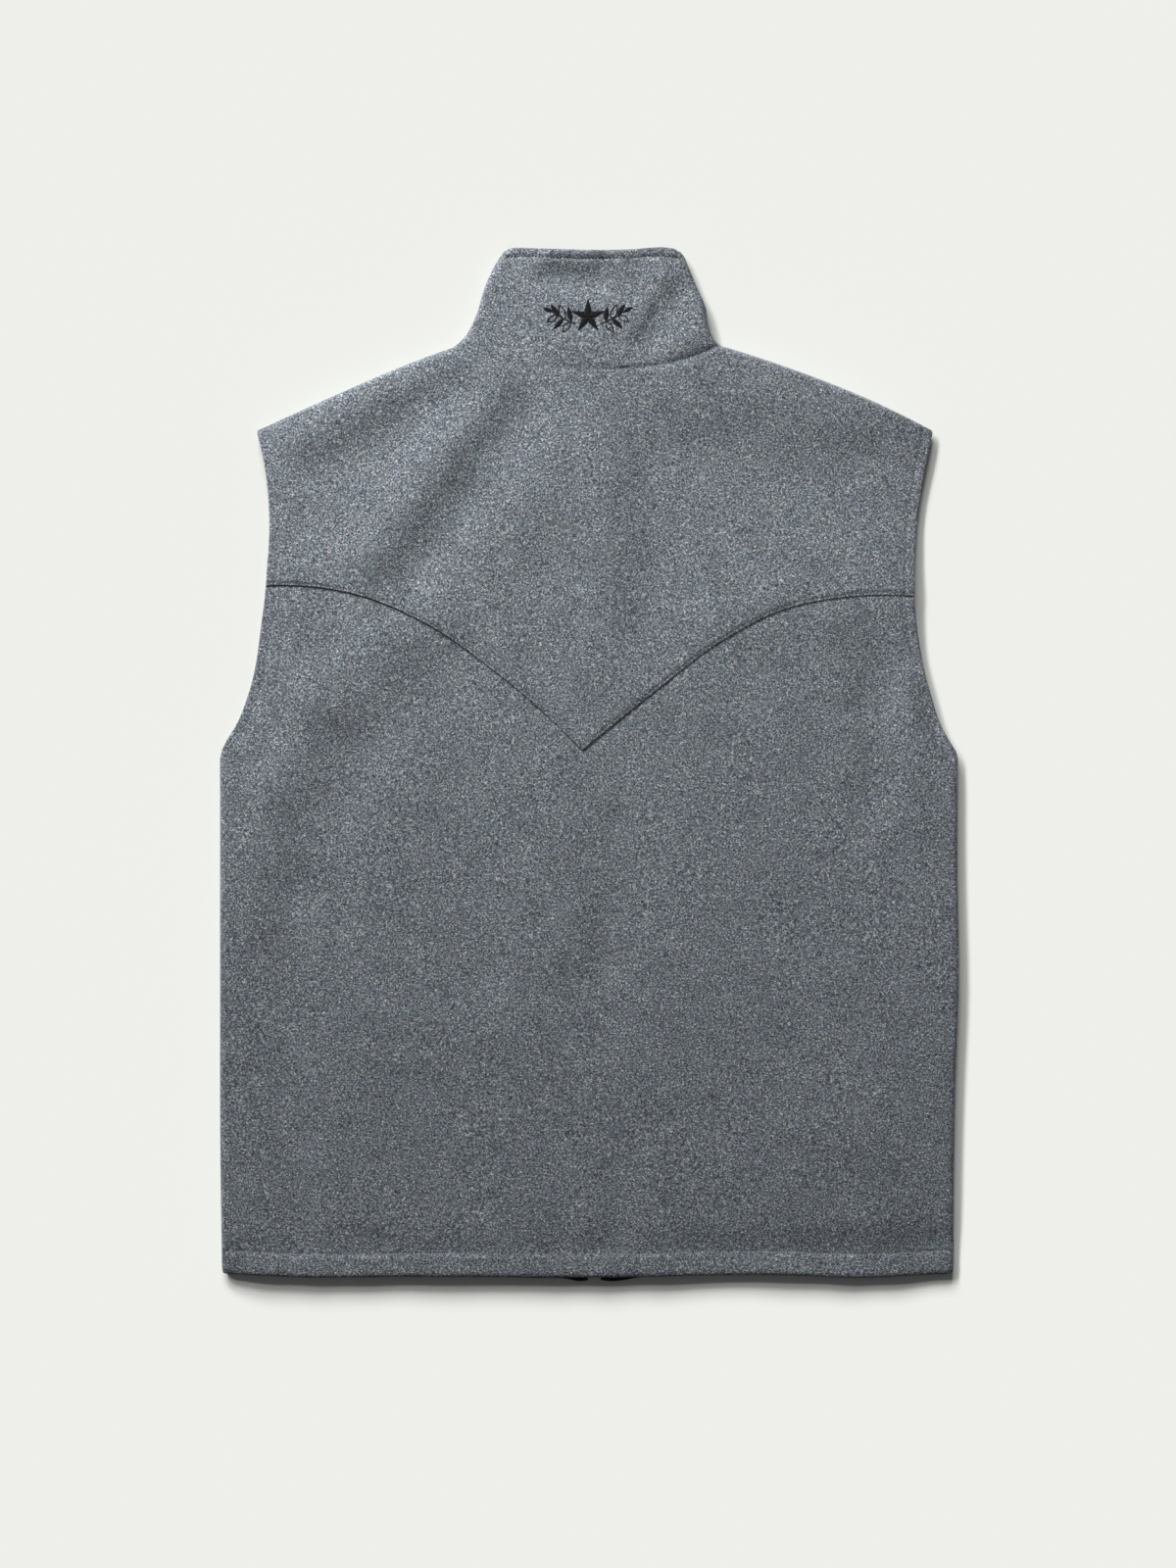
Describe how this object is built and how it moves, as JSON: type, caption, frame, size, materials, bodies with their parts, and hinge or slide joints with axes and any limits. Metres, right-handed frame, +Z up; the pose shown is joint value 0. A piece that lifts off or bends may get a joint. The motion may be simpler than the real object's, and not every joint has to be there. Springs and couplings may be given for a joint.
{
  "type": "western vest laid flat",
  "caption": "Sleeveless wool vest with a stand collar, zip front and pointed western back yoke, laid flat with its back up.",
  "frame": {"origin": "middle of the box round the whole vest, on the plane that it lies on", "axes": "+Z up, out of the back; +Y along the back towards the collar; +X across, towards the wearer's right"},
  "size_m": [0.546, 0.764, 0.0129],
  "materials": {
    "wool": "brushed heather wool",
    "facing": "plain black cloth",
    "zip_tape": "woven black tape",
    "zip_metal": "dark satin metal"
  },
  "bodies": {
    "vest": {"back_panel": "wool", "back_yoke": "wool", "front_left": "wool", "front_right": "wool", "collar": "wool", "front_facing_left": "facing", "front_facing_right": "facing", "zip_tape_left": "zip_tape", "zip_tape_right": "zip_tape", "zip_chain": "zip_metal", "zip_box": "zip_metal", "zip_slider": "zip_metal"},
    "pull": {"zip_pull": "zip_metal"}
  },
  "joints": [
    {"name": "pull_hinge", "type": "hinge", "parent": "vest", "child": "pull", "pos_m": [0.004, 0.261, 0.00185], "axis": [1, 0, 0], "range_deg": [0, 160]}
  ]
}
